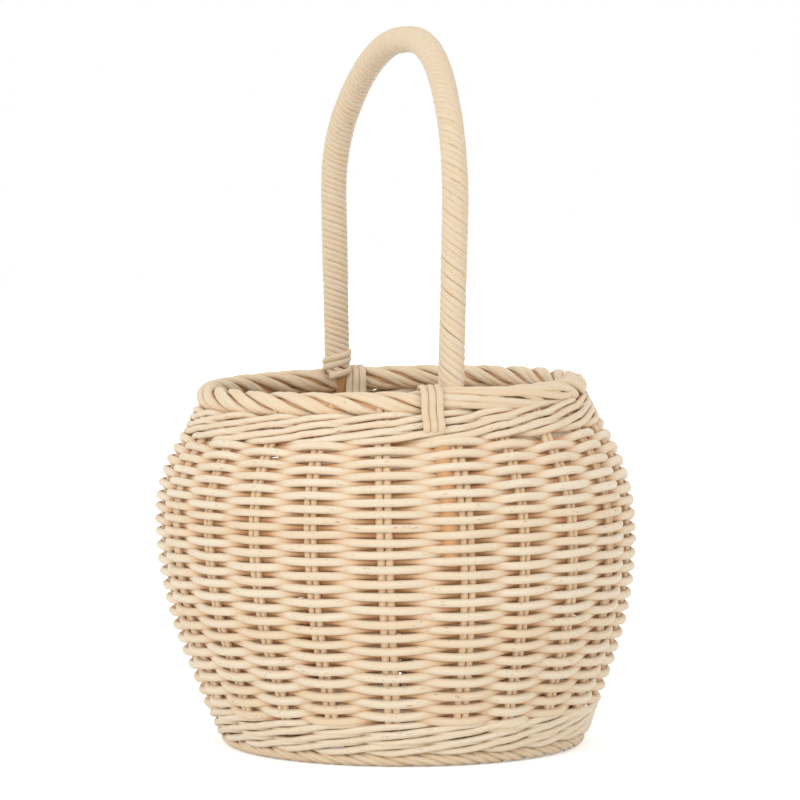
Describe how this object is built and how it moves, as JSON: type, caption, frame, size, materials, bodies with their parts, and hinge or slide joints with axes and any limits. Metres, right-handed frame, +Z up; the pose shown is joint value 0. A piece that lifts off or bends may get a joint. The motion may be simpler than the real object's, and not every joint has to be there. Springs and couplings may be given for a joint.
{
  "type": "egg collection basket",
  "caption": "Round-bellied woven cane basket on a rope foot, with a thick rolled border and a fixed bow handle wrapped in flat cane.",
  "frame": {"origin": "on the floor under the centre of the foot border", "axes": "+Z up to the top of the bow handle; the handle's bow lies in the XZ plane, so +X points to the front leg of the handle"},
  "size_m": [0.2426, 0.2426, 0.3586],
  "materials": {
    "stake_cane": "peeled round cane, matt, side stakes",
    "weave_cane": "peeled round cane, matt, woven, with brown shade between the rows",
    "border_cane": "peeled round cane, matt, laid in a rope",
    "base_cane": "peeled round cane, matt, thicker sticks",
    "bow_rod": "bare orange-brown cane rod, satin",
    "wrap_cane": "flat-oval glossy-skin cane, low satin"
  },
  "bodies": {
    "root": {"pierced_stick_1": "base_cane", "pierced_stick_2": "base_cane", "pierced_stick_3": "base_cane", "pierced_stick_4": "base_cane", "pierced_stick_5": "base_cane", "pierced_stick_6": "base_cane", "threaded_stick_1": "base_cane", "threaded_stick_2": "base_cane", "threaded_stick_3": "base_cane", "threaded_stick_4": "base_cane", "threaded_stick_5": "base_cane", "base_weaver_inner": "weave_cane", "base_weaver_outer": "weave_cane", "foot_border": "border_cane", "upsett_wale": "weave_cane", "side_weaver_1": "weave_cane", "side_weaver_2": "weave_cane", "side_weaver_3": "weave_cane", "side_weaver_4": "weave_cane", "side_weaver_5": "weave_cane", "side_weaver_6": "weave_cane", "side_weaver_7": "weave_cane", "side_weaver_8": "weave_cane", "top_wale": "weave_cane", "rim_border": "border_cane", "stake_01": "stake_cane", "stake_02": "stake_cane", "stake_03": "stake_cane", "stake_04": "stake_cane", "stake_05": "stake_cane", "stake_06": "stake_cane", "stake_07": "stake_cane", "stake_08": "stake_cane", "stake_09": "stake_cane", "stake_10": "stake_cane", "stake_11": "stake_cane", "stake_12": "stake_cane", "stake_13": "stake_cane", "stake_14": "stake_cane", "stake_15": "stake_cane", "stake_16": "stake_cane", "stake_17": "stake_cane", "stake_18": "stake_cane", "stake_19": "stake_cane", "stake_20": "stake_cane", "stake_21": "stake_cane", "stake_22": "stake_cane", "handle_bow": "bow_rod", "handle_wrap_front": "wrap_cane", "handle_wrap_rear": "wrap_cane", "handle_lashing_front": "wrap_cane", "handle_lashing_rear": "wrap_cane"}
  },
  "joints": []
}
